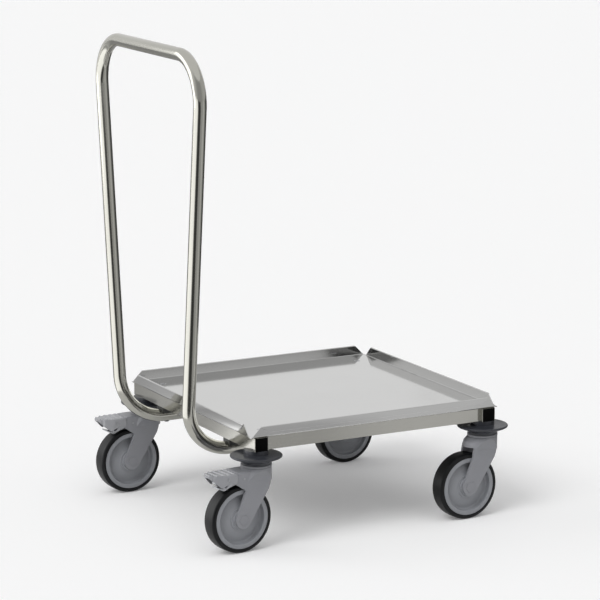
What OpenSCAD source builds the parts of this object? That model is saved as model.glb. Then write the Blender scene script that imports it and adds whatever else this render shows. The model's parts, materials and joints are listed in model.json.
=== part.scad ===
// Dish rack dolly: a sheet metal deck with folded rims on a welded tube frame,
// four swivel castors with bumper discs, two of them braked, and a bent tube push handle.
// Millimetres, +Z up. Origin: centre of the deck's upper face. The handle is on the -X side.

/* [Deck] */
// Clear length of the deck between its rims, along X
deck_x = 510; // [440:5:640]
// Clear width of the deck between its rims, along Y
deck_y = 510; // [460:5:640]
// Height of the rims above the deck's upper face
rim_h = 19; // [14:0.5:30]
// Sheet thickness of the deck and its rims
sheet_t = 1.5; // [1:0.1:2.5]
// Set-back of the front and rear rims' top ends from the deck's inner corners
rim_end_y = 20; // [14:1:40]
// Set-back of the left and right rims' top ends from the deck's inner corners
rim_end_x = 29; // [20:1:50]

/* [Frame] */
// Width of the frame's rectangular tube
tube_w = 27; // [25:0.5:34]
// Height of the frame's rectangular tube
tube_h = 25; // [22:0.5:34]
// Wall of the frame's rectangular tube
tube_t = 1.5; // [1:0.1:2.5]
// Distance from the frame's side faces in to the rims' outer plane
frame_inset = 6; // [3:0.5:12]
// Projection of the side tubes' ends past the deck's edge
tube_reach = 2.5; // [0:0.5:6]
// Depth of the plastic plugs in the side tubes' ends
plug_depth = 11; // [6:0.5:11]
// Leg length of the triangular gussets in the frame's corners
gusset_leg = 62; // [52:1:90]
// Thickness of the gussets
gusset_t = 3; // [2:0.5:5]
// Distance of the deck bolts from the side tubes' inner faces
deck_bolt_in_x = 10.5; // [9.5:0.5:16]
// Distance of the deck bolts from the cross tubes' inner faces
deck_bolt_in_y = 17.5; // [12:0.5:20]

/* [Handle] */
// Outer diameter of the handle's round tube
grip_d = 24; // [20:0.5:28]
// Wall of the handle's round tube
grip_t = 1.5; // [1:0.1:2.5]
// Height of the top bar's centre line above the deck
handle_h = 679; // [500:5:900]
// Distance between the legs' centre lines at the top bar
handle_top_w = 439; // [340:1:480]
// Distance between the legs' centre lines at the bottom
handle_low_w = 284; // [240:1:290]
// Distance of the legs' centre line beyond the deck's inner edge
handle_out = 74; // [60:1:110]
// Centre line radius of the two top bends
top_bend_r = 81; // [50:1:110]
// Centre line radius of the two bottom bends
low_bend_r = 85; // [60:1:100]
// Height of the saddles between the handle and the side tubes
saddle_h = 5.2; // [3:0.1:8]
// Diameter of the bolts that hold the handle
grip_bolt_d = 6; // [5:0.5:8]

/* [Castor] */
// Diameter of the castor wheels
wheel_d = 125; // [100:1:135]
// Width of the castor wheels
wheel_w = 32; // [26:1:36]
// Thickness of the tyre on the wheel's rim
tyre_t = 8; // [5:0.5:12]
// Horizontal distance of the axle behind the swivel axis
trail = 40; // [34:1:46]
// Height of a castor from the floor to the frame
castor_h = 184; // [180:1:200]
// Diameter of the bumper discs
bumper_d = 95; // [80:1:110]
// Thickness of the bumper disc's flange
bumper_t = 5.5; // [4:0.5:8]
// Drop of the bumper disc's flange below the frame
bumper_drop = 8.5; // [5:0.5:12]
// Diameter of the castor head
head_d = 56; // [52:1:60]
// Drop of the head collar's lower end below the frame
collar_drop = 26; // [24:0.5:28]
// Height of the swivel race's visible ring
race_h = 4.6; // [3:0.2:6]
// Diameter of the hollow king pin that the fork turns on
king_d = 20; // [18:0.5:24]
// Thickness of the fork's legs
leg_t = 4.5; // [4:0.5:7]
// Radius of the boss at the fork's axle
boss_r = 16; // [13:0.5:18]
// Diameter of the axle
axle_d = 10; // [8:0.5:12]
// Diameter of the mounting bolt
stem_d = 12; // [8:0.5:12]

/* [Brake] */
// Reach of the brake pedal's tip from the swivel axis
pedal_reach = 108; // [102:1:112]
// Distance of the pedal's pin from the swivel axis
pedal_pin_u = 71; // [69:0.5:74]
// Distance of the brake lever's pin from the swivel axis
lever_pin_u = 38.5; // [36:0.5:41]
// Number of ribs across the brake pedal
rib_count = 5; // [3:1:6]
// Height of the pedal's ribs
rib_h = 1.8; // [1:0.2:2.4]
// Diameter of the brake's two pins
pin_d = 4; // [3:0.5:5]

/* [Rest position] */
// Turn of the front left castor at rest
turn_front_left = 5.5; // [-15:0.5:15]
// Turn of the front right castor at rest
turn_front_right = 3; // [-15:0.5:15]
// Turn of the rear left castor at rest
turn_rear_left = 2; // [-15:0.5:15]
// Turn of the rear right castor at rest
turn_rear_right = 3; // [-15:0.5:15]

/* [Hidden] */
$fn = 96;

// Clearances
run_gap = 0.05;    // shaft in a bore, on the radius
face_gap = 0.3;    // between faces that slide past each other
saddle_gap = 0.4;  // saddle to handle tube, which starts to bend over the saddle
leg_gap = 1;       // wheel side to fork leg
wheel_gap = 4;     // tread to fork crown
shoe_gap = 3.3;    // tread to the released brake shoe
lap = 1;           // lap of a tube's straight lengths into its bends
lap_step = 0.02;   // and their smaller radius there
eps = 0.01;

// Deck and rims
half_x = deck_x / 2;
half_y = deck_y / 2;
edge_x = half_x + sheet_t;                   // deck's outer edge
edge_y = half_y + sheet_t;
bend_r = 1;                                  // inner radius where a rim leaves the deck
foot_y = half_x - 1;                         // half length of the front and rear rims at their foot
foot_x = half_y - rim_end_x + rim_h;         // and of the left and right rims

// Frame
side_out = edge_x - frame_inset;             // side tubes' outer face
side_in = side_out - tube_w;
cross_out = edge_y - frame_inset;            // cross tubes' outer face
cross_in = cross_out - tube_w;
tube_top = -sheet_t;
tube_low = tube_top - tube_h;
tube_end = edge_y + tube_reach;
plug_recess = 0.6;
deck_bolt_x = side_in - deck_bolt_in_x;
deck_bolt_y = cross_in - deck_bolt_in_y;
deck_bolt_d = 6;
deck_head_d = 12;                            // countersunk head, just below the deck's face
deck_head_drop = 0.1;
deck_socket_af = 4;
washer_d = 14;
washer_t = 1.2;
nut_h = 5;
nut_af = 10;
bolt_over = 1.5;                             // bolts' ends past their nuts

// Handle
grip_r = grip_d / 2;
leg_x = -(half_x + handle_out);
run_z = tube_low - saddle_h - grip_r;
run_end = side_out;
grip_bolt_x = side_out - tube_w / 2;
grip_head_d = 11;
grip_head_h = 2.5;

// Castors
castor_x = side_out - tube_w / 2;
castor_y = cross_out - tube_w / 2;
floor_z = tube_low - castor_h;
wheel_r = wheel_d / 2;
axle_z = floor_z + wheel_r;
head_r = head_d / 2;
flange_top = tube_low - bumper_drop;
flange_low = flange_top - bumper_t;
collar_low = tube_low - collar_drop;
race_low = collar_low - race_h;
fork_top = race_low - face_gap;
web_low = fork_top - 14;                     // underside of the fork's crown round the king pin
king_r = king_d / 2;
king_low = web_low - face_gap;
stem_washer_t = 3;
stem_washer_r = king_r + 4;
stem_block = 11;
stem_top = tube_low + tube_t + stem_block;
insert_half = tube_end - plug_recess - plug_depth - castor_y - 0.5;
stem_head_h = 6.5;
slot_half = wheel_w / 2 + leg_gap;
leg_out = slot_half + leg_t;
crown_low = axle_z + wheel_r + wheel_gap;
crown_u = 13;                                // the crown reaches this much further back than the head
leg_front = 0.4 - sqrt(head_r * head_r - leg_out * leg_out);
leg_rear = crown_u - leg_front;
axle_at = [trail, axle_z];
knee_front = [leg_front + 4, crown_low - 14];
knee_rear = [leg_rear + 4.5, crown_low - 13];
cap_af = 17;                                 // axle head and nut, across flats
cap_h = 0.8;
hood_low = crown_low + 7;                    // lower edge of the crown behind an unbraked fork's legs

// Brake
pedal_pin_at = [pedal_pin_u, fork_top - 12.6];
lever_pin_at = [lever_pin_u, fork_top - 14.3];
plate_top = fork_top - 2.1;                  // top of the arms' plate ahead of the pedal
plate_t = 4;
slot_u = 51.5;                               // gap between that plate and the pedal
pedal_top = fork_top - 1.4;                  // crest of the pedal's ribs
tread_t = 3;
tread_low = pedal_top - rib_h - tread_t;
pedal_half = slot_half - face_gap;           // pedal's lugs between the fork's arms
pedal_cheek_t = 1.6;
lug = 5;                                     // thickness and radius of those lugs
arm_top = tread_low - 1.2;
arm_out = leg_out - pedal_cheek_t - face_gap;    // arms inside the pedal's cheeks
pivot_r = 19;                                // the pedal's cheeks end on this arc about its pin

// Castor name, side along X, side along Y, turn at rest, brake
CORNERS = [
    ["front_left", -1, -1, turn_front_left, true],
    ["front_right", 1, -1, turn_front_right, false],
    ["rear_left", -1, 1, turn_rear_left, true],
    ["rear_right", 1, 1, turn_rear_right, false]
];

function dir2(a) = [cos(a), sin(a)];

// Side outline drawn in X and Z, given width from y0 to y1
module slab(y0, y1) {
    rotate([90, 0, 0]) translate([0, 0, -y1]) linear_extrude(y1 - y0) children();
}

module both_sides() {
    children();
    mirror([0, 1, 0]) children();
}

// Points of an arc from angle a0 to a1
function arc(centre, r, a0, a1, n = 6) = [for (i = [0 : n]) centre + r * dir2(a0 + (a1 - a0) * i / n)];

// Outline that is the same on both sides of the x axis, from the points of its upper half
function mirrored(pts) = concat(pts, [for (i = [len(pts) - 1 : -1 : 0]) [pts[i][0], -pts[i][1]]]);

// Bend that starts upwards along z and turns towards x, with its children at its far end
module bend(r, bend_r, turn) {
    translate([bend_r, 0, 0]) {
        rotate([90, 0, 180]) rotate_extrude(angle = turn) translate([bend_r, 0]) circle(r);
        rotate([0, turn, 0]) translate([-bend_r, 0, 0]) children();
    }
}

// Straight length along z, with its children at its far end. It laps a little into the bends next to it
module straight(r, length, first = lap, last = lap) {
    translate([0, 0, -first]) cylinder(r = r - lap_step, h = first + length + last);
    translate([0, 0, length]) children();
}

// Deck tray
module deck_tray() {
    color("lightgray") difference() {
        translate([0, 0, -sheet_t]) linear_extrude(sheet_t) deck_outline();
        at_deck_bolts() deck_bolt_hole();
    }
}

// Flat of the deck: it reaches its outer edge only at the corners, past the ends of the rims' bends
module deck_outline() {
    corner = [
        [half_x - bend_r, foot_x], [edge_x, foot_x], [edge_x, edge_y],
        [foot_y, edge_y], [foot_y, half_y - bend_r]
    ];
    last = len(corner) - 1;
    polygon([for (side = [[1, 1], [-1, 1], [-1, -1], [1, -1]], i = [0 : last])
        let (p = corner[side[0] * side[1] > 0 ? i : last - i]) [side[0] * p[0], side[1] * p[1]]]);
}

// Folded rim, turned round from the -Y side: foot and top are its half lengths at the deck and at its top
module rim(turn, place, foot, top) {
    color("lightgray") rotate([0, 0, turn]) translate([0, -place, 0]) intersection() {
        rotate([90, 0, 90]) linear_extrude(2 * foot, center = true) rim_section();
        rotate([90, 0, 0]) linear_extrude(8 * sheet_t, center = true) polygon([
            [-foot, -sheet_t], [foot, -sheet_t], [foot, 0], [top, rim_h], [-top, rim_h], [-foot, 0]
        ]);
    }
}

// Rim's section, rounded where it leaves the deck: x runs inwards from the rim's inner face
module rim_section() {
    inner = [bend_r, bend_r];
    polygon(concat(
        arc(inner, bend_r, 180, 270), [[bend_r, -sheet_t]],
        arc(inner, bend_r + sheet_t, 270, 180), [[-sheet_t, rim_h], [0, rim_h]]
    ));
}

// Frame tubes
module box_tube(length) {
    linear_extrude(length, center = true) difference() {
        square([tube_w, tube_h], center = true);
        square([tube_w - 2 * tube_t, tube_h - 2 * tube_t], center = true);
    }
}

module side_tube(side) {
    color("silver") difference() {
        translate([side * castor_x, 0, tube_top - tube_h / 2]) rotate([90, 0, 0]) box_tube(2 * tube_end);
        for (y = [-1, 1]) {
            translate([side * castor_x, y * castor_y, tube_low - eps]) cylinder(d = stem_d, h = 2 * tube_t);
            translate([side * grip_bolt_x, y * handle_low_w / 2, tube_low - eps])
                cylinder(d = grip_bolt_d, h = 2 * tube_t);
        }
    }
}

module cross_tube(side) {
    color("silver") translate([0, side * castor_y, tube_top - tube_h / 2]) rotate([90, 0, 90])
        box_tube(2 * side_in);
}

module at_corners() {
    for (x = [0, 1], y = [0, 1]) mirror([x, 0, 0]) mirror([0, y, 0]) children();
}

module corner_gussets() {
    color("silver") at_corners() difference() {
        translate([0, 0, tube_top - gusset_t]) linear_extrude(gusset_t)
            polygon([
                [side_in, cross_in], [side_in - gusset_leg, cross_in],
                [side_in - gusset_leg, cross_in - gusset_t], [side_in - gusset_t, cross_in - gusset_leg],
                [side_in, cross_in - gusset_leg]
            ]);
        translate([deck_bolt_x, deck_bolt_y, 0]) deck_bolt_hole();
    }
}

module tube_end_plugs() {
    inner_w = tube_w - 2 * tube_t;
    inner_h = tube_h - 2 * tube_t;
    color("black") at_corners() translate([castor_x, tube_end - plug_recess, tube_top - tube_h / 2])
        rotate([90, 0, 0]) difference() {
            translate([0, 0, plug_depth / 2]) cube([inner_w, inner_h, plug_depth], center = true);
            translate([0, 0, plug_depth / 2 + 3])
                cube([inner_w - 5, inner_h - 5, plug_depth], center = true);
        }
}

// Deck fixings
module at_deck_bolts() {
    at_corners() translate([deck_bolt_x, deck_bolt_y, 0]) children();
}

module dome(d, h) {
    ball = (d * d / 4 + h * h) / (2 * h);
    intersection() {
        translate([0, 0, h - ball]) sphere(ball);
        cylinder(d = d, h = h);
    }
}

// Countersunk bolt shape down from the deck's face: its cone is as wide as d on that face
module countersunk(d, shank_d, length) {
    cone_h = (d - shank_d) / 2;
    rotate_extrude()
        polygon([[0, 0], [d / 2, 0], [shank_d / 2, -cone_h], [shank_d / 2, -length], [0, -length]]);
}

module deck_bolt_hole() {
    gap = 2 * run_gap;
    translate([0, 0, eps]) countersunk(deck_head_d + gap, deck_bolt_d + gap, sheet_t + gusset_t + 1);
}

module deck_bolts() {
    reach = sheet_t + gusset_t + washer_t + nut_h + bolt_over;
    color("gainsboro") at_deck_bolts() translate([0, 0, -deck_head_drop]) difference() {
        countersunk(deck_head_d - 2 * deck_head_drop, deck_bolt_d, reach);
        translate([0, 0, -2]) cylinder(d = deck_socket_af / cos(30), h = 3, $fn = 6);
    }
}

module deck_washers() {
    color("gainsboro") at_deck_bolts() translate([0, 0, tube_top - gusset_t - washer_t]) difference() {
        cylinder(d = washer_d, h = washer_t);
        translate([0, 0, -eps]) cylinder(d = deck_bolt_d, h = washer_t + 2 * eps);
    }
}

module hex_nut(af, h, bore) {
    difference() {
        cylinder(d = af / cos(30), h = h, $fn = 6);
        translate([0, 0, -eps]) cylinder(d = bore, h = h + 2 * eps);
    }
}

module deck_nuts() {
    color("gainsboro") at_deck_bolts() translate([0, 0, tube_top - gusset_t - washer_t - nut_h])
        hex_nut(nut_af, nut_h, deck_bolt_d);
}

// Push handle: each half starts at the middle of the top bar
module handle_sweep(r) {
    lean = atan((handle_top_w - handle_low_w) / 2 / (handle_h - run_z));
    top_turn = 90 + lean;
    top_trim = top_bend_r * tan(top_turn / 2);
    leg = norm([(handle_top_w - handle_low_w) / 2, handle_h - run_z]);
    $fn = 48;
    both_sides() translate([leg_x, 0, handle_h]) rotate([90, 0, 0]) rotate([0, 0, -90])
        straight(r, handle_top_w / 2 - top_trim, first = 0) bend(r, top_bend_r, top_turn)
            straight(r, leg - top_trim - low_bend_r) rotate([0, 0, 90]) bend(r, low_bend_r, 90)
                straight(r, run_end - leg_x - low_bend_r, last = 0);
}

module at_handle_bolts() {
    for (x = [-1, 1], y = [-1, 1]) translate([x * grip_bolt_x, y * handle_low_w / 2, 0]) children();
}

module handle_tube() {
    color("silver") difference() {
        handle_sweep(grip_r);
        handle_sweep(grip_r - grip_t);
        at_handle_bolts() translate([0, 0, run_z - grip_r - 1]) cylinder(d = grip_bolt_d, h = grip_d + 2);
    }
}

module handle_end_plugs() {
    color("black") for (y = [-1, 1]) translate([run_end, y * handle_low_w / 2, run_z]) rotate([0, 90, 0]) {
        translate([0, 0, -8]) cylinder(r = grip_r - grip_t - run_gap, h = 8);
        cylinder(r = grip_r, h = 1.5);
        translate([0, 0, 1.5]) dome(grip_d - 2, 2);
    }
}

module handle_saddles() {
    color("dimgray") at_handle_bolts() difference() {
        translate([-tube_w / 2 + 1, -grip_r - 1, tube_low - saddle_h - grip_r / 2])
            cube([tube_w - 2, grip_d + 2, saddle_h + grip_r / 2]);
        translate([-tube_w, 0, run_z]) rotate([0, 90, 0]) cylinder(r = grip_r + saddle_gap, h = 2 * tube_w);
        translate([0, 0, run_z]) cylinder(d = grip_bolt_d, h = grip_d);
    }
}

module handle_bolts() {
    head_top = run_z - grip_r;
    color("dimgray") at_handle_bolts() {
        translate([0, 0, head_top]) mirror([0, 0, 1]) dome(grip_head_d, grip_head_h);
        translate([0, 0, head_top - eps])
            cylinder(d = grip_bolt_d, h = tube_low + tube_t + nut_h - head_top + bolt_over);
    }
}

module handle_nuts() {
    color("gainsboro") at_handle_bolts() translate([0, 0, tube_low + tube_t])
        hex_nut(nut_af, nut_h, grip_bolt_d);
}

// Castors: local x points to the wheel's trailing side and local y along the axle
module at_castor(c) {
    translate([c[1] * castor_x, c[2] * castor_y, 0]) rotate([0, 0, 180 + c[3]]) children();
}

module at_all_castors() {
    for (c = CORNERS) at_castor(c) children();
}

// Threaded blocks inside the side tubes, just behind the end plugs
module stem_inserts() {
    half_w = tube_w / 2 - tube_t;
    color("gainsboro") for (c = CORNERS)
        translate([c[1] * castor_x, c[2] * castor_y, tube_low + tube_t]) difference() {
            translate([-half_w, -insert_half, 0]) cube([2 * half_w, 2 * insert_half, stem_block]);
            translate([0, 0, -eps]) cylinder(d = stem_d, h = stem_block + 2 * eps);
        }
}

module castor_stems() {
    head_z = king_low - stem_washer_t - stem_head_h;
    color("gainsboro") at_all_castors() {
        translate([0, 0, head_z]) cylinder(d = 1.6 * stem_d / cos(30), h = stem_head_h, $fn = 6);
        translate([0, 0, head_z + stem_head_h - eps])
            cylinder(d = stem_d, h = stem_top - head_z - stem_head_h + eps);
    }
}

module stem_washers() {
    color("gainsboro") at_all_castors() translate([0, 0, king_low - stem_washer_t]) difference() {
        cylinder(r = stem_washer_r, h = stem_washer_t);
        translate([0, 0, -eps]) cylinder(d = stem_d, h = stem_washer_t + 2 * eps);
    }
}

// Bumper disc moulded with the head's collar and the boss that stands it off the frame
module bumper_disc(c) {
    r = bumper_d / 2;
    dome = 0.8;
    lip = (bumper_t - dome) / 2;
    boss = 0.8 * head_r;
    color("darkslategray") at_castor(c) rotate_extrude() polygon(concat(
        [[stem_d / 2, tube_low], [boss, tube_low], [boss, flange_top], [r - 5 * lip, flange_top - dome / 3]],
        arc([r - lip, flange_low + lip], lip, 82, -68),
        [[head_r + 2.5, flange_low - 6], [head_r + 0.6, flange_low - 7.4], [head_r, flange_low - 9]],
        [[head_r, collar_low], [stem_d / 2, collar_low]]
    ));
}

// Race ring with the hollow king pin below it
module swivel_race(c) {
    color("lightslategray") at_castor(c) rotate_extrude() polygon([
        [stem_d / 2, collar_low], [head_r - 1, collar_low], [head_r + 0.4, collar_low - 1],
        [head_r + 0.4, race_low + 1], [head_r - 0.6, race_low], [king_r, race_low],
        [king_r, king_low], [stem_d / 2, king_low]
    ]);
}

// Angle on a circle where a line from the point p touches it, on the side s
function touch(p, centre, r, s) =
    let (d = p - centre) atan2(d[1], d[0]) + s * acos(r / norm(d));

// Side view of a leg and, on a braked fork, of the full width of the arm behind it
module cheek_outline(braked) {
    first = touch(knee_front, axle_at, boss_r, 1);
    last = touch(knee_rear, axle_at, boss_r, -1);
    arm = concat(
        arc(knee_rear + [6, 0], 4, 165, 85, 4),
        [[slot_u - 2, crown_low - 2.6], [slot_u + 5, crown_low + 0.7]],
        [[slot_u + 5, arm_top], [slot_u, arm_top]],
        [[slot_u, plate_top - 1], [slot_u - 1, plate_top], [crown_u, plate_top + 0.6], [0, web_low + 4]]
    );
    plain = [
        [leg_rear + 1.5, crown_low + 2], [leg_rear + 0.5, hood_low - 1.5], [leg_rear - 1.5, hood_low + 0.8],
        [leg_rear - 5, web_low + 2]
    ];
    polygon(concat(
        [[leg_front, web_low], [leg_front, crown_low], [leg_front + 1.2, crown_low - 6], knee_front],
        arc(axle_at, boss_r, first, last + 360, 24),
        [knee_rear],
        braked ? arm : plain
    ));
}

// Side view of the arms that hold the pedal's pin between the pedal's cheeks
module arm_outline() {
    polygon(concat(
        [[slot_u - 7, arm_top - 0.5], [slot_u - 7, crown_low + 1], [slot_u + 5, crown_low + 2]],
        arc(pedal_pin_at, 6.5, -110, 45, 10),
        [[pedal_pin_u, arm_top - 0.5]]
    ));
}

// Rounds the top side edges of its children off to the legs' faces
module crowned(crest) {
    intersection() {
        children();
        rotate([0, -90, 0]) linear_extrude(8 * trail, center = true) polygon(mirrored([
            [floor_z, leg_out + 1], [crest - 5, leg_out + 1], [crest - 4.2, leg_out + 0.2],
            [crest - 1.7, leg_out - 0.7], [crest - 0.5, leg_out - 2.6], [crest + 0.05, leg_out - 7]
        ]));
    }
}

// Crown: a round head with a hood sloping out to the rear. It narrows downwards to the legs' faces
module crown() {
    over = 2;
    rear = crown_u + head_r + over;
    intersection() {
        hull() for (disc = [[0, fork_top], [0.65 * crown_u, fork_top - 7], [0.92 * crown_u, hood_low + 1]])
            translate([disc[0], 0, crown_low]) cylinder(r = head_r, h = disc[1] - crown_low);
        slab(-head_r - over, head_r + over) polygon([
            [-head_r - over, crown_low - over], [-head_r - over, fork_top + over], [rear, fork_top + over],
            [rear, hood_low], [leg_rear + 3, hood_low],
            [leg_rear + 1, hood_low - 1.5], [leg_rear + 0.5, crown_low - over]
        ]);
        rotate([90, 0, 90]) linear_extrude(4 * trail, center = true) polygon([
            [-head_r - 0.6, fork_top + over], [head_r + 0.6, fork_top + over], [head_r + 0.6, fork_top - 1],
            [leg_out, crown_low + 1], [leg_out - 0.4, crown_low - over],
            [-leg_out + 0.4, crown_low - over], [-leg_out, crown_low + 1], [-head_r - 0.6, fork_top - 1]
        ]);
    }
}

// Space between the cheeks for the wheel and the mounting bolt's head
module fork_slot(braked) {
    bolt_room = stem_washer_r + 1;
    roof = crown_low + 1;
    rear_roof = braked ? plate_top - plate_t : hood_low - 0.5;
    low = axle_z - 2 * boss_r;
    slab(-slot_half, slot_half) polygon([
        [-2 * head_r, low], [-2 * head_r, roof], [-bolt_room, roof], [-bolt_room, web_low],
        [bolt_room, web_low], [bolt_room, rear_roof], [2 * pedal_reach, rear_roof], [2 * pedal_reach, low]
    ]);
}

// Fork of a castor
module fork(c) {
    braked = c[4];
    color("slategray") at_castor(c) difference() {
        union() {
            crown();
            if (braked) {
                crowned(plate_top + 0.7) slab(-leg_out, leg_out) difference() {
                    cheek_outline(true);
                    translate(pedal_pin_at) circle(pivot_r + face_gap);
                }
                slab(-arm_out, arm_out) arm_outline();
            } else {
                slab(-leg_out, leg_out) cheek_outline(false);
            }
        }
        fork_slot(braked);
        translate([0, 0, web_low - lap]) cylinder(r = king_r + run_gap, h = fork_top - web_low + 2 * lap);
        translate([trail, 0, axle_z]) rotate([90, 0, 0]) cylinder(d = axle_d, h = 4 * leg_out, center = true);
        if (braked) for (at = [pedal_pin_at, lever_pin_at])
            translate([at[0], 0, at[1]]) rotate([90, 0, 0])
                cylinder(d = pin_d, h = 4 * leg_out, center = true);
    }
}

// Axle with a low six-sided head on each side of the fork
module axle(c) {
    color("gainsboro") at_castor(c) translate([trail, 0, axle_z]) rotate([90, 0, 0]) {
        cylinder(d = axle_d, h = 2 * leg_out + 2 * eps, center = true);
        for (side = [0, 1]) mirror([0, 0, side]) translate([0, 0, leg_out]) {
            cylinder(d = cap_af / cos(30), h = cap_h, $fn = 6);
        }
    }
}

// Wheel: sections are drawn with x as radius and y along the axle
rim_r = wheel_r - tyre_t;
rim_half = wheel_w / 2 - 0.5;
dish_r = rim_r - 9;
hub_half = slot_half - 0.5;
hub_r = boss_r + 1.5;
step_r = hub_r + 4.5;
step_half = 13;
web_hub = 11.2;                              // the web's half thickness at the hub
web_rim = 7;                                 // and at the rim
tongue = 2.5;
tongue_half = wheel_w / 4;
shoulder = 4.5;

module wheel_core(c) {
    color("darkgray") wheel_place(c) rotate_extrude() polygon(mirrored(concat(
        [[bush_r, hub_half], [hub_r - 0.6, hub_half], [hub_r, hub_half - 0.6], [hub_r + 0.4, step_half]],
        [[step_r - 0.6, step_half], [step_r, step_half - 0.6], [step_r + 0.3, web_hub]],
        arc([dish_r - 5, web_rim + 5], 5, -90, 0),
        [[dish_r + 0.6, rim_half - 1], [dish_r + 1.6, rim_half]],
        [[rim_r - 1, rim_half], [rim_r, rim_half - 1]],
        [[rim_r, tongue_half], [rim_r + tongue, tongue_half]]
    )));
}

module tyre(c) {
    crown = wheel_r - 0.5;
    color("dimgray") wheel_place(c) rotate_extrude() polygon(mirrored(concat(
        [[rim_r + tongue, tongue_half], [rim_r, tongue_half]],
        [[rim_r, wheel_w / 2 - 0.6], [rim_r + 0.6, wheel_w / 2]],
        arc([crown - shoulder, wheel_w / 2 - shoulder], shoulder, 90, 6, 8),
        [[wheel_r - 0.1, wheel_w / 8], [wheel_r, wheel_w / 32]]
    )));
}

bush_r = axle_d / 2 + 3;

module wheel_bush(c) {
    color("gainsboro") wheel_place(c) rotate_extrude()
        translate([axle_d / 2 + run_gap, -hub_half]) square([bush_r - axle_d / 2 - run_gap, 2 * hub_half]);
}

module wheel_place(c) {
    at_castor(c) translate([trail, 0, axle_z]) rotate([90, 0, 0]) children();
}

// Brake pedal: a ribbed rocker with skirts at its tip and two lugs on its pin
function pedal_plan(inset) = let (
    half = leg_out - inset,
    tip = pedal_reach - inset,
    nose = 13 - inset
) concat(
    [[slot_u - 4, 0], [slot_u - 4, half], [pedal_pin_u + 7, half], [tip - 13, nose + 3]],
    arc([tip - nose, 0], nose, 75, 0, 6)
);

module pedal_prism(inset) {
    translate([0, 0, crown_low - 20]) linear_extrude(60) polygon(mirrored(pedal_plan(inset)));
}

module tread_outline() {
    first = slot_u + 1;
    pitch = (pedal_reach - first) / rib_count;
    width = 0.45 * pitch;
    base = pedal_top - rib_h;
    rise = [[0.3, 0], [0.9, 0.8], [1.8, 1]];
    rib = concat(rise, [for (i = [2, 1, 0]) [width - rise[i][0], rise[i][1]]]);
    polygon(concat(
        [[first, tread_low], [first, base]],
        [for (i = [0 : rib_count - 1], p = rib) [first + (i + 0.25) * pitch + p[0], base + p[1] * rib_h]],
        [[pedal_reach, base], [pedal_reach + 0.5, base - tread_t / 2], [pedal_reach, tread_low]]
    ));
}

// Side view of the pedal's cheeks, which carry on the fork's faces to the pedal's tip
module pedal_cheek_outline() {
    polygon(concat(
        arc(pedal_pin_at, pivot_r, 158, 212, 10),
        [[pedal_pin_u - 4, crown_low + 4.5], [pedal_pin_u + 5, crown_low + 2]],
        [[pedal_pin_u + 12, crown_low - 1.6], [pedal_pin_u + 15, crown_low - 0.8]],
        [[pedal_reach - 6.5, tread_low - 4], [pedal_reach - 1, tread_low + 1], [slot_u + 4, tread_low + 1]]
    ));
}

module brake_pedal(c) {
    color("slategray") at_castor(c) difference() {
        union() {
            crowned(pedal_top) intersection() {
                slab(-leg_out - 1, leg_out + 1) tread_outline();
                pedal_prism(0);
            }
            intersection() {
                difference() {
                    pedal_prism(0);
                    pedal_prism(pedal_cheek_t);
                }
                slab(-leg_out - 1, leg_out + 1) pedal_cheek_outline();
            }
            both_sides() slab(pedal_half - lug, pedal_half) {
                translate(pedal_pin_at) circle(lug);
                translate(pedal_pin_at - [lug, 0]) square([2 * lug, tread_low + lap - pedal_pin_at[1]]);
            }
        }
        translate([pedal_pin_at[0], 0, pedal_pin_at[1]]) rotate([90, 0, 0])
            cylinder(d = pin_d + 2 * run_gap, h = 4 * leg_out, center = true);
    }
}

module brake_pin(c, at) {
    color("gainsboro") at_castor(c) translate([at[0], 0, at[1]]) rotate([90, 0, 0])
        cylinder(d = pin_d, h = 2 * leg_out + 0.8, center = true);
}

// Brake lever: its shoe lies over the tread, and its two lips show below the pedal
module brake_lever(c) {
    under = wheel_r + shoe_gap;
    end = axle_at + under * dir2(58);            // its two lips start here
    half = pedal_half - lug - face_gap;
    color("black") at_castor(c) difference() {
        slab(-half, half) difference() {
            polygon(concat(
                arc(lever_pin_at, 5.5, 60, 250, 8),
                [for (a = [80 : -4 : 58]) axle_at + under * dir2(a)],
                [end + [1.5, 1.2], end + [13, 6.5], end + [13, 8.8], end + [0, 4]],
                [end + [12.5, 13.7], end + [11.5, 16.5], end + [-3.5, 5.5], end + [-13, 14]]
            ));
            translate(axle_at) circle(under - eps);
        }
        translate([lever_pin_at[0], 0, lever_pin_at[1]]) rotate([90, 0, 0])
            cylinder(d = pin_d + 2 * run_gap, h = 4 * leg_out, center = true);
    }
}

deck_tray();
rim(0, half_y, foot_y, half_x - rim_end_y);  // rim_front
rim(180, half_y, foot_y, half_x - rim_end_y);  // rim_rear
rim(-90, half_x, foot_x, half_y - rim_end_x);  // rim_left
rim(90, half_x, foot_x, half_y - rim_end_x);  // rim_right
side_tube(-1);  // side_tube_left
side_tube(1);  // side_tube_right
cross_tube(-1);  // cross_tube_front
cross_tube(1);  // cross_tube_rear
corner_gussets();
tube_end_plugs();
deck_bolts();
deck_washers();
deck_nuts();
handle_tube();
handle_end_plugs();
handle_saddles();
handle_bolts();
handle_nuts();
stem_inserts();
castor_stems();
stem_washers();
for (c = CORNERS) {
    bumper_disc(c);
    swivel_race(c);
    fork(c);
    axle(c);
    wheel_core(c);
    tyre(c);
    wheel_bush(c);
    if (c[4]) {
        brake_pedal(c);
        brake_pin(c, pedal_pin_at);
        brake_lever(c);
        brake_pin(c, lever_pin_at);
    }
}
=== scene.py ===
"""Dish rack dolly: a stainless tray on a tube frame, a bent tube push handle and four plastic castors.

Metres, +Z up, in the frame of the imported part. The handle is on the -X side.
"""

import json
import math

import bmesh
import bpy
from mathutils import Matrix, Vector


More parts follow.
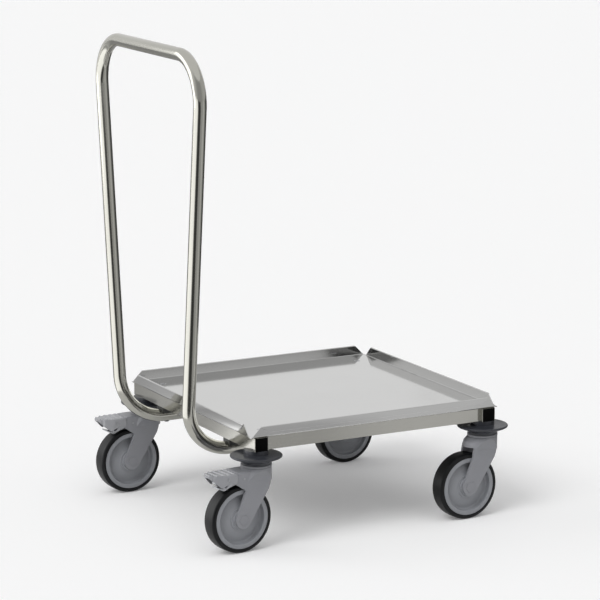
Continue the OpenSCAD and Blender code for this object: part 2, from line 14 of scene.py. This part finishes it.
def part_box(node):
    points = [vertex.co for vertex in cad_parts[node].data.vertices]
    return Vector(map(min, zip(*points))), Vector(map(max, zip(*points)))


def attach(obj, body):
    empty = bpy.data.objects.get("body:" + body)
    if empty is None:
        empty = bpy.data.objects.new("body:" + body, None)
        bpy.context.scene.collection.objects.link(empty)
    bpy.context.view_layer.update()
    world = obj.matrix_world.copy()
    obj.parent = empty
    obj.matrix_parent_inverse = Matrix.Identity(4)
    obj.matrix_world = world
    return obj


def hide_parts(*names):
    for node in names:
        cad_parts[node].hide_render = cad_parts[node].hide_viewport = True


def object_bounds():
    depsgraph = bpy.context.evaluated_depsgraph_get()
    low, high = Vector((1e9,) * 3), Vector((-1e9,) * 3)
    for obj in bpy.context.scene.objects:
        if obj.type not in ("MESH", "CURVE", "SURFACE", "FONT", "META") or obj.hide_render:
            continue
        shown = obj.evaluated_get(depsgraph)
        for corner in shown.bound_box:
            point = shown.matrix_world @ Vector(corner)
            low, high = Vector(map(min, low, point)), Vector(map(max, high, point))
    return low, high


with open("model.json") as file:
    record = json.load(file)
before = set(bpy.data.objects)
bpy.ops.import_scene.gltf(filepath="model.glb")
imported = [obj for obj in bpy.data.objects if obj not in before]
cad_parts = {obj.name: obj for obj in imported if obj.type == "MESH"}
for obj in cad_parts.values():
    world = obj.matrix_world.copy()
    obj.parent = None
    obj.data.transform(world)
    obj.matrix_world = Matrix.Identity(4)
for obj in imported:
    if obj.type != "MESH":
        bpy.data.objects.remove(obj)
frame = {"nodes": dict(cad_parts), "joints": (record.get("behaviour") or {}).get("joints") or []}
cad_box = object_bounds()
MM = 0.001
CORNERS = ("front_left", "front_right", "rear_left", "rear_right")


# Nodes and colours

def linear(hex_colour):
    """Linear RGBA of an sRGB hex colour such as "C8C7C4"."""
    parts = [int(hex_colour[i:i + 2], 16) / 255 for i in (0, 2, 4)]
    return [c / 12.92 if c <= 0.04045 else ((c + 0.055) / 1.055) ** 2.4 for c in parts] + [1.0]


def add(tree, kind, inputs=(), **settings):
    """Adds a node, with its settings by name and its inputs as values or as links from sockets."""
    node = tree.nodes.new(kind)
    for name, value in settings.items():
        setattr(node, name, value)
    for name, value in dict(inputs).items():
        if isinstance(value, bpy.types.NodeSocket):
            tree.links.new(value, node.inputs[name])
        else:
            node.inputs[name].default_value = value
    return node


def new_material(name):
    """An empty material and its node tree."""
    made = bpy.data.materials.new(name)
    made.use_nodes = True
    made.node_tree.nodes.clear()
    return made, made.node_tree


# Materials

def steel(name, colours, roughness, grain, grain_bump, edge):
    """Steel with a slightly uneven tint, whose fine lines or grains blur its reflections.

    Grain is the pattern's scale per metre along each axis. Edge is the radius of the broken edges, which
    catch the light.
    """
    made, tree = new_material(name)
    place = add(tree, "ShaderNodeTexCoord").outputs["Object"]
    stretched = add(tree, "ShaderNodeMapping", {"Vector": place, "Scale": grain})
    lines = add(tree, "ShaderNodeTexNoise", {
        "Vector": stretched.outputs[0], "Scale": 1.0, "Detail": 3.0})
    # Clouds of tint about 110 mm across, as the mill's rolls leave them
    cloud = add(tree, "ShaderNodeTexNoise", {"Vector": place, "Scale": 9.0, "Detail": 2.0})
    rough = add(tree, "ShaderNodeMapRange", {
        "Value": lines.outputs[0], "From Min": 0.3, "From Max": 0.7,
        "To Min": roughness * 0.7, "To Max": roughness * 1.4})
    tint = add(tree, "ShaderNodeMix", {
        "Factor": cloud.outputs[0], "A": linear(colours[0]), "B": linear(colours[1])}, data_type="RGBA")
    round_edge = add(tree, "ShaderNodeBevel", {"Radius": edge}, samples=6)
    bump = add(tree, "ShaderNodeBump", {
        "Height": lines.outputs[0], "Strength": grain_bump, "Distance": 0.05 * MM,
        "Normal": round_edge.outputs[0]})
    shader = add(tree, "ShaderNodeBsdfPrincipled", {
        "Base Color": tint.outputs[2], "Metallic": 1.0, "Roughness": rough.outputs[0],
        "Normal": bump.outputs[0]})
    add(tree, "ShaderNodeOutputMaterial", {"Surface": shader.outputs[0]})
    return made


def moulded(name, colours, roughness, grit, bump_depth, shine=0.5):
    """Moulded plastic or rubber, slightly uneven in colour. The grain of the mould breaks its sheen.

    Grit is the width of the grain's bumps. Real ones are 0.1 mm or less and are drawn coarser to show.
    """
    made, tree = new_material(name)
    place = add(tree, "ShaderNodeTexCoord").outputs["Object"]
    grains = add(tree, "ShaderNodeTexNoise", {
        "Vector": place, "Scale": 1 / grit, "Detail": 3.0, "Roughness": 0.6})
    # Streaks of colour about 30 mm across, where the melt flowed into the mould
    flow = add(tree, "ShaderNodeTexNoise", {"Vector": place, "Scale": 30.0, "Detail": 3.0})
    tint = add(tree, "ShaderNodeMix", {
        "Factor": flow.outputs[0], "A": linear(colours[0]), "B": linear(colours[1])}, data_type="RGBA")
    rough = add(tree, "ShaderNodeMapRange", {
        "Value": grains.outputs[0], "To Min": roughness - 0.08, "To Max": roughness + 0.08})
    round_edge = add(tree, "ShaderNodeBevel", {"Radius": 0.6 * MM}, samples=6)
    bump = add(tree, "ShaderNodeBump", {
        "Height": grains.outputs[0], "Strength": 0.35, "Distance": bump_depth,
        "Normal": round_edge.outputs[0]})
    shader = add(tree, "ShaderNodeBsdfPrincipled", {
        "Base Color": tint.outputs[2], "Roughness": rough.outputs[0],
        "IOR": 1.5, "Specular IOR Level": shine, "Normal": bump.outputs[0]})
    add(tree, "ShaderNodeOutputMaterial", {"Surface": shader.outputs[0]})
    return made


# Grinding lines 0.4 mm apart and 125 mm long. Real ones are finer and are drawn coarser to show
ALONG_X = (8, 2500, 2500)
ALONG_Y = (2500, 8, 2500)
ALONG_Z = (2500, 2500, 8)
# Plating grains 1.7 mm across, also coarser than real ones
GRAINY = (600, 600, 600)

# Stainless sheet, cold rolled and satin finished: a pale mirror, a little blurred along its grain
satin_sheet = steel("satin_stainless_sheet", ("CBCBCA", "C6C6C5"), 0.09, ALONG_X, 0.08, 0.5 * MM)
# Stainless tube, ground along its length: warmer and duller than the sheet, with crisp corners
tube_along_y = steel("ground_stainless_tube_y", ("BEBDB7", "B5B4AE"), 0.15, ALONG_Y, 0.2, 0.3 * MM)
tube_along_x = steel("ground_stainless_tube_x", ("BEBDB7", "B5B4AE"), 0.15, ALONG_X, 0.2, 0.3 * MM)
# Stainless tube of the handle, ground and then rubbed smooth: clear light and dark bands along it
handle_steel = steel("rubbed_stainless_handle", ("BDBCB5", "B1B0A8"), 0.13, ALONG_Z, 0.2, 0.5 * MM)
# Steel, zinc plated: a soft bluish shine with a faint mottle
zinc = steel("zinc_plated_steel", ("B9BABC", "A9ABB0"), 0.32, GRAINY, 0.3, 0.2 * MM)
# Nylon with glass fibre, moulded: mid grey with a soft sheen on its rounded edges
fork_plastic = moulded("moulded_glass_filled_nylon_fork", ("929398", "8A8B90"), 0.33,
                       0.7 * MM, 0.08 * MM)
# The same nylon as the fork, made glossier, with a paler colour as painted highlight, so that the ribs'
# tops show as light stripes
pedal_plastic_painted_lighter = moulded("glossy_nylon_pedal_painted_lighter", ("A0A1A5", "97989C"), 0.17, 0.9 * MM, 0.03 * MM)
# Nylon coloured through, moulded: a dark blue grey with a broad dull shine on the disc
disc_plastic = moulded("moulded_dark_nylon_disc", ("35373D", "2E3036"), 0.30, 0.7 * MM, 0.06 * MM)
# Polypropylene, moulded: a waxy light grey with soft highlights on the raised ring
rim_plastic = moulded("moulded_grey_polypropylene_rim", ("94969B", "8C8E93"), 0.34,
                      0.8 * MM, 0.05 * MM)
# Thermoplastic rubber, moulded: a deep black that takes only a weak and wide shine
tyre_rubber = moulded("moulded_black_rubber_tread", ("0F1012", "0B0C0E"), 0.40, 0.5 * MM, 0.06 * MM,
                      shine=0.25)
# Nylon of the saddles, moulded: a dark warm grey that sinks into the shade under the frame
saddle_plastic = moulded("moulded_dark_grey_nylon_saddle", ("2B2C29", "242522"), 0.35,
                         0.7 * MM, 0.05 * MM)
# Polyethylene of the plugs, moulded: a dead black, almost without shine
plug_plastic = moulded("moulded_black_polyethylene", ("060606", "040404"), 0.6, 0.6 * MM, 0.05 * MM,
                       shine=0.05)

# The finish of each node, by how the node's name starts
FINISHES = {
    "deck_tray": satin_sheet, "rim_": satin_sheet, "corner_gussets": satin_sheet,
    "side_tube": tube_along_y, "cross_tube": tube_along_x,
    "handle_tube": handle_steel, "handle_end_plugs": plug_plastic, "handle_saddles": saddle_plastic,
    "handle_bolts": zinc, "handle_nuts": zinc, "tube_end_plugs": plug_plastic,
    "deck_bolts": zinc, "deck_washers": zinc, "deck_nuts": zinc,
    "stem_inserts": zinc, "castor_stems": zinc, "stem_washers": zinc,
    "bumper_disc": disc_plastic, "swivel_race": fork_plastic, "fork": fork_plastic,
    "axle": fork_plastic, "wheel_core": rim_plastic, "tyre": tyre_rubber, "wheel_bush": zinc,
    "brake_pedal": pedal_plastic_painted_lighter, "pedal_pin": zinc, "lever_pin": zinc, "brake_lever": zinc,
}


def entry_for(node, table):
    """The entry of a table whose key the node's name starts with."""
    return next(entry for start, entry in table.items() if node.startswith(start))


for name, obj in frame["nodes"].items():
    obj.data.materials.clear()
    obj.data.materials.append(entry_for(name, FINISHES))


# Pieces that stand for CAD nodes: finer curves and rounds, the rims' hems and the plugs' caps

JOINTS = {joint["name"]: joint for joint in frame["joints"]}


def piece(name, made, body, node, smooth=35):
    """Turns a bmesh into the piece that stands for a node. Edges over an angle in degrees stay sharp."""
    bmesh.ops.recalc_face_normals(made, faces=made.faces)
    mesh = bpy.data.meshes.new(name)
    made.to_mesh(mesh)
    made.free()
    mesh.shade_smooth()
    mesh.set_sharp_from_angle(angle=math.radians(smooth))
    mesh.materials.append(entry_for(node, FINISHES))
    placed = bpy.data.objects.new(name, mesh)
    bpy.context.scene.collection.objects.link(placed)
    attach(placed, body)
    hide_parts(node)


def rounded(corners, closed=False, steps=8):
    """Points of a path through (corner, radius) pairs, with an arc at each corner that has a radius."""
    points = []
    count = len(corners)
    for i, (corner, radius) in enumerate(corners):
        corner = Vector(corner).to_3d()
        if not radius or (not closed and i in (0, count - 1)):
            points.append(corner)
            continue
        before = (Vector(corners[i - 1][0]).to_3d() - corner).normalized()
        after = (Vector(corners[(i + 1) % count][0]).to_3d() - corner).normalized()
        half = before.angle(after) / 2
        centre = corner + (before + after).normalized() * radius / math.sin(half)
        touch = radius / math.tan(half)
        start, end = ((corner + way * touch - centre).normalized() for way in (before, after))
        points += [centre + start.slerp(end, k / steps) * radius for k in range(steps + 1)]
    return points


def bridge(made, rings, inward=False):
    """Adds the faces between each closed ring of points and the next ring."""
    for here, there in zip(rings, rings[1:]):
        for k in range(len(here)):
            j = (k + 1) % len(here)
            face = (here[k], here[j], there[j], there[k])
            made.faces.new(face[::-1] if inward else face)


def turned(outline, joint, steps=144):
    """A ring turned round a joint's axis. The outline's points are (radius, place along it) in mm."""
    made = bmesh.new()
    centre = Vector(JOINTS[joint]["pos_m"])
    turn = Vector(JOINTS[joint]["axis"]).to_track_quat("Z", "X")
    rings = []
    for k in range(steps):
        angle = 2 * math.pi * k / steps
        spots = [Vector((p.x * math.cos(angle), p.x * math.sin(angle), p.y)) * MM for p in outline]
        rings.append([made.verts.new(centre + turn @ spot) for spot in spots])
    bridge(made, rings + rings[:1])
    return made


def both_faces(half):
    """The whole outline of a ring that is the same on both sides, from its half with positive y."""
    return half + [((x, -y), radius) for (x, y), radius in reversed(half)]


# Half outlines of the tyre and the wheel's core in mm, as (radius, distance from the wheel's middle)
# and the round at that corner. The tyre grips a key that runs round the core.
CORE_RADIUS = 54.5
WHEEL_RADIUS = 62.5
KEY_RADIUS = CORE_RADIUS + 2.5
KEY_HALF = 8
TYRE = rounded(both_faces([
    ((KEY_RADIUS, KEY_HALF), 0), ((CORE_RADIUS, KEY_HALF), 0), ((CORE_RADIUS, 16), 0.7),
    ((WHEEL_RADIUS - 0.35, 16), 4.8), ((WHEEL_RADIUS, 4), 3), ((WHEEL_RADIUS, 0.3), 0),
]), closed=True)
CORE = rounded(both_faces([
    ((8, 16.5), 0), ((17.5, 16.5), 0.6), ((17.9, 13), 0.4), ((22, 13), 0.6), ((22.3, 11.2), 0.5),
    ((45.5, 4.4), 4.0), ((46.5, 15.5), 0.8),
    ((CORE_RADIUS, 15.5), 0.7), ((CORE_RADIUS, KEY_HALF), 0), ((KEY_RADIUS, KEY_HALF), 0),
]), closed=True)


def bent_tube(path, radius, wall, sides=64):
    """A round tube along a path, with its wall and both of its ends."""
    made = bmesh.new()
    outer, inner = [], []
    angles = [2 * math.pi * k / sides for k in range(sides)]
    across = None
    for i, point in enumerate(path):
        ahead = (path[min(i + 1, len(path) - 1)] - point).normalized()
        behind = (point - path[max(i - 1, 0)]).normalized()
        along = (ahead + behind).normalized()
        across = along.orthogonal() if across is None else across
        across = (across - along * across.dot(along)).normalized()
        other = along.cross(across)
        for rings, r in ((outer, radius), (inner, radius - wall)):
            rings.append([made.verts.new(point + (across * math.cos(a) + other * math.sin(a)) * r)
                          for a in angles])
    bridge(made, outer)
    bridge(made, inner, inward=True)
    for i in (0, -1):
        bridge(made, (outer[i], inner[i]))
    return made


def handle():
    """The push handle: two runs under the frame, two legs that lean apart, and the top bar."""
    leg_x, run_end, run_z, top_z = -0.329, 0.2505, -0.0437, 0.679
    low_y, top_y = 0.142, 0.2195
    low_bend, top_bend = 0.085, 0.081
    path = rounded([
        ((run_end, -low_y, run_z), 0), ((leg_x, -low_y, run_z), low_bend),
        ((leg_x, -top_y, top_z), top_bend), ((leg_x, top_y, top_z), top_bend),
        ((leg_x, low_y, run_z), low_bend), ((run_end, low_y, run_z), 0),
    ], steps=32)
    tube = bent_tube(path, radius=12 * MM, wall=1.5 * MM)
    piece("push_handle_tube", tube, "frame", "handle_tube")


# The tray's sheet and its rims, in mm. TRAY_HALF is from the tray's middle to a rim's inner face, and
# FOOT_LAP is how far a rim runs into the tray's sheet
SHEET = 1.5
TRAY_HALF = 255
FOOT_LAP = 3
INNER_BEND = 1
RIM_HEIGHT = 19
HEM = 12
HEM_GAP = 0.3
HEM_STEPS = 12


def folded_rim(side, turn, foot):
    """A rim of the tray with the flat hem along its upper edge, folded back outside.

    Turn is the rim's place round the tray in degrees, and foot its half length in mm at the tray. Its
    ends are cut at 45 degrees in the flat sheet, so the folded part slopes the other way.
    """
    half = SHEET / 2
    fold = half + HEM_GAP / 2
    top = foot - RIM_HEIGHT
    bend = rounded([((FOOT_LAP, -half), 0), ((-half, -half), INNER_BEND + half),
                    ((-half, RIM_HEIGHT), 0)], steps=10)
    # The middle of the sheet, as distance inwards from the rim's inner face, height and half length
    middle = [(p.x, p.y, foot if p.y < 0 else foot - p.y) for p in bend[:-1]]
    middle.append((-half, RIM_HEIGHT - fold - half, top + fold + half))
    for k in range(1, HEM_STEPS + 1):
        a = math.pi * k / HEM_STEPS
        x, z = fold * (math.cos(a) - 1) - half, fold * (math.sin(a) - 1) + RIM_HEIGHT - half
        middle.append((x, z, top))
    middle.append((-half - 2 * fold, RIM_HEIGHT - HEM, top - HEM))
    made = bmesh.new()
    way = Matrix.Rotation(math.radians(turn), 3, "Z")
    rings = []
    for i, (x, z, length) in enumerate(middle):
        before, after = middle[max(i - 1, 0)], middle[min(i + 1, len(middle) - 1)]
        along = Vector((after[0] - before[0], after[1] - before[1])).normalized()
        off = Vector((-along.y, along.x)) * half
        spots = [Vector((end * length, x + face * off.x - TRAY_HALF, z + face * off.y))
                 for end, face in ((1, 1), (1, -1), (-1, -1), (-1, 1))]
        rings.append([made.verts.new(way @ spot * MM) for spot in spots])
    bridge(made, rings)
    made.faces.new(rings[0])
    made.faces.new(rings[-1])
    piece("tray_rim_" + side, made, "frame", "rim_" + side, smooth=25)


def block(made, low, high, edge):
    """Adds a block with broken edges to a mesh, from its lowest to its highest corner."""
    size = [b - a for a, b in zip(low, high)]
    centre = [(a + b) / 2 for a, b in zip(low, high)]
    place = Matrix.Translation(centre) @ Matrix.Diagonal((*size, 1))
    cube = bmesh.ops.create_cube(made, size=1, matrix=place)
    edges = {e for v in cube["verts"] for e in v.link_edges}
    bmesh.ops.bevel(made, geom=list(edges), offset=edge, segments=3, profile=0.5, affect="EDGES")


def end_plugs():
    """The black plugs of the side tubes, each with a cap over the tube's upper and lower wall."""
    wall, plug_depth, plug_face = 1.5 * MM, 14 * MM, 0.2 * MM
    cap_back, cap_face = 0.5 * MM, 0.9 * MM
    cap_side_gap, cap_top_gap = 1.1 * MM, 0.1 * MM
    made = bmesh.new()
    for side in ("left", "right"):
        low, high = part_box("side_tube_" + side)
        for end in (-1, 1):
            face = high[1] * end
            inner, outer = sorted((face - end * plug_depth, face - end * plug_face))
            block(made, (low[0] + wall, inner, low[2] + wall),
                  (high[0] - wall, outer, high[2] - wall), 0.3 * MM)
            inner, outer = sorted((face - end * cap_back, face + end * cap_face))
            block(made, (low[0] + cap_side_gap, inner, low[2] + cap_top_gap),
                  (high[0] - cap_side_gap, outer, high[2] - cap_top_gap), 0.5 * MM)
    piece("tube_end_caps", made, "frame", "tube_end_plugs")


handle()
for side, turn, foot in (("front", 0, 254), ("rear", 180, 254), ("left", -90, 245), ("right", 90, 245)):
    folded_rim(side, turn, foot)
end_plugs()
for corner in CORNERS:
    wheel = "castor_wheel_" + corner
    piece("tread_" + corner, turned(TYRE, "roll_" + corner), wheel, "tyre_" + corner)
    piece("wheel_disc_" + corner, turned(CORE, "roll_" + corner), wheel, "wheel_core_" + corner)


# Studio: the camera, a pale floor that runs out of sight, soft suns, and what only reflections show

VIEW_AZIMUTH, VIEW_ELEVATION, VIEW_ROLL = -27.66, 11.49, -0.20


def around(turn, elevation=0.0):
    """Direction from the object at a turn in degrees from the photograph's view, positive to its right."""
    azimuth, up = math.radians(VIEW_AZIMUTH + turn), math.radians(elevation)
    return Vector((math.sin(azimuth) * math.cos(up), -math.cos(azimuth) * math.cos(up), math.sin(up)))


def camera():
    """The photograph's view: a long lens from the front left, a little above the tray."""
    distance, to_right, upwards = 5.6136, -0.0202, 0.1775
    focal_pixels, picture_pixels = 2954.92, 600
    back = around(0, VIEW_ELEVATION)
    azimuth, roll = math.radians(VIEW_AZIMUTH), math.radians(VIEW_ROLL)
    right = Vector((math.cos(azimuth), math.sin(azimuth), 0))
    up = back.cross(right)
    data = bpy.data.cameras.new("camera")
    data.sensor_width = 36
    data.lens = data.sensor_width * focal_pixels / picture_pixels
    data.clip_end = 100
    made = bpy.data.objects.new("camera", data)
    c, s = math.cos(roll), math.sin(roll)
    axes = Matrix([list(v) for v in (right * c + up * s, up * c - right * s, back)]).transposed()
    place = back * distance + right * to_right + up * upwards
    made.matrix_world = Matrix.Translation(place) @ axes.to_4x4()
    bpy.context.scene.collection.objects.link(made)
    bpy.context.scene.camera = made


def stage_piece(name, points, faces, material):
    """A mesh of the studio, which is no part of the dolly."""
    mesh = bpy.data.meshes.new(name)
    mesh.from_pydata(points, [], faces)
    mesh.materials.append(material)
    made = bpy.data.objects.new(name, mesh)
    bpy.context.scene.collection.objects.link(made)
    return made


def floor():
    """The floor that the tyres stand on, in matt white paint: pale, soft shadows and no shine.

    The camera sees it a little paler than it is lit.
    """
    made, tree = new_material("matt_painted_floor")
    ray = add(tree, "ShaderNodeLightPath")
    lift = add(tree, "ShaderNodeMath", {0: ray.outputs["Is Camera Ray"], 1: 0.15}, operation="MULTIPLY")
    shader = add(tree, "ShaderNodeBsdfPrincipled", {
        "Base Color": linear("F2F2F2"), "Roughness": 0.9, "Specular IOR Level": 0.0,
        "Emission Color": linear("F2F2F4"), "Emission Strength": lift.outputs[0]})
    add(tree, "ShaderNodeOutputMaterial", {"Surface": shader.outputs[0]})
    reach, low = 40, cad_box[0][2]
    corners = [(x * reach, y * reach, low) for x, y in ((-1, -1), (1, -1), (1, 1), (-1, 1))]
    stage_piece("floor", corners, [(0, 1, 2, 3)], made)


def grey_card(name, shades, near, far):
    """A curved grey card that only reflections show, as a dim room does.

    It runs from near to far, each a distance and a height above the floor. Each shade is a turn from
    the view in degrees and the card's brightness there.
    """
    made, tree = new_material(name)
    shade = add(tree, "ShaderNodeAttribute", attribute_name="shade")
    shader = add(tree, "ShaderNodeEmission", {"Color": shade.outputs["Color"]})
    add(tree, "ShaderNodeOutputMaterial", {"Surface": shader.outputs[0]})
    points, tones = [], []
    for turn in range(shades[0][0], shades[-1][0] + 1, 3):
        (t0, b0), (t1, b1) = next(pair for pair in zip(shades, shades[1:]) if turn <= pair[1][0])
        for distance, height in (near, far):
            foot = around(turn) * distance
            points.append((foot.x, foot.y, cad_box[0][2] + height))
            tones.append(b0 + (b1 - b0) * (turn - t0) / (t1 - t0))
    faces = [(i, i + 2, i + 3, i + 1) for i in range(0, len(points) - 2, 2)]
    card = stage_piece(name, points, faces, made)
    layer = card.data.color_attributes.new("shade", "FLOAT_COLOR", "POINT")
    for item, tone in zip(layer.data, tones):
        item.color = (tone, tone, tone, 1)
    card.visible_camera = card.visible_diffuse = card.visible_shadow = card.visible_transmission = False


def lamp(name, kind, way):
    """A lamp that shines at the object from a direction, and its data."""
    data = bpy.data.lights.new(name, kind)
    made = bpy.data.objects.new(name, data)
    made.rotation_mode = "QUATERNION"
    made.rotation_quaternion = (-way).to_track_quat("-Z", "Y")
    bpy.context.scene.collection.objects.link(made)
    return made, data


def softbox(name, turn, elevation, distance, size, brightness):
    """A softbox that only reflections show. A sun lights from its side, so that no floor is burnt out."""
    way = around(turn, elevation)
    made, data = lamp(name, "AREA", way)
    data.shape = "RECTANGLE"
    data.size, data.size_y = size
    data.energy = brightness * math.pi * size[0] * size[1]
    made.location = way * distance
    made.visible_diffuse = False


def sun(name, strength, turn, elevation, spread):
    """A soft sun that no reflection shows: steel shows the room, and no hot spot of each lamp."""
    made, data = lamp(name, "SUN", around(turn, elevation))
    data.energy = strength
    data.angle = math.radians(spread)
    made.visible_glossy = False


def surroundings():
    """Pale walls all round, which the camera and reflections see brighter than they light the object."""
    world = bpy.data.worlds.new("studio")
    world.use_nodes = True
    tree = world.node_tree
    tree.nodes.clear()
    ray = add(tree, "ShaderNodeLightPath")
    seen = add(tree, "ShaderNodeBackground", {"Color": linear("F2F2F2"), "Strength": 1.0})
    lit = add(tree, "ShaderNodeBackground", {"Color": linear("F2F2F2"), "Strength": 0.4})
    either = add(tree, "ShaderNodeMath", {
        0: ray.outputs["Is Camera Ray"], 1: ray.outputs["Is Glossy Ray"]}, operation="MAXIMUM")
    clear = add(tree, "ShaderNodeMath", {
        0: either.outputs[0], 1: ray.outputs["Is Transmission Ray"]}, operation="MAXIMUM")
    mixed = add(tree, "ShaderNodeMixShader", {
        0: clear.outputs[0], 1: lit.outputs[0], 2: seen.outputs[0]})
    add(tree, "ShaderNodeOutputWorld", {"Surface": mixed.outputs[0]})
    bpy.context.scene.world = world


camera()
floor()
# The room in the steel: bright on the left, dark in front, grey on the right and dark behind it
ROOM = [(-111, 0.35), (-105, 0.6), (-99, 1.9), (-38, 1.7), (-27, 0.2), (-21, 0.06), (5, 0.06),
        (12, 0.46), (42, 0.52), (51, 0.7), (60, 0.7), (69, 0.56), (84, 0.5), (96, 0.1), (174, 0.1)]
grey_card("room_floor", ROOM, (0.7, 0.002), (3.2, 0.42))
grey_card("room_wall", ROOM, (3.2, 0.42), (3.2, 0.87))
grey_card("upper_room", [(-66, 0.9), (-42, 0.6), (-20, 0.42), (30, 0.42), (60, 0.6), (135, 0.6)],
          (3.2, 0.87), (3.2, 3.8))
# The floor's dim part behind on the left
grey_card("dim_floor", [(-186, 0.8), (-174, 0.35), (-126, 0.35), (-111, 0.8)], (0.4, 0.001), (6, 0.001))
surroundings()
softbox("left_softbox", -97, 16, 2.9, (2.2, 2.0), 1.6)
sun("left_light", 1.15, -38, 46, 30)
sun("top_light", 0.72, 20, 72, 70)
sun("left_fill", 0.7, -97, 16, 40)
bpy.context.scene.view_settings.view_transform = "Standard"
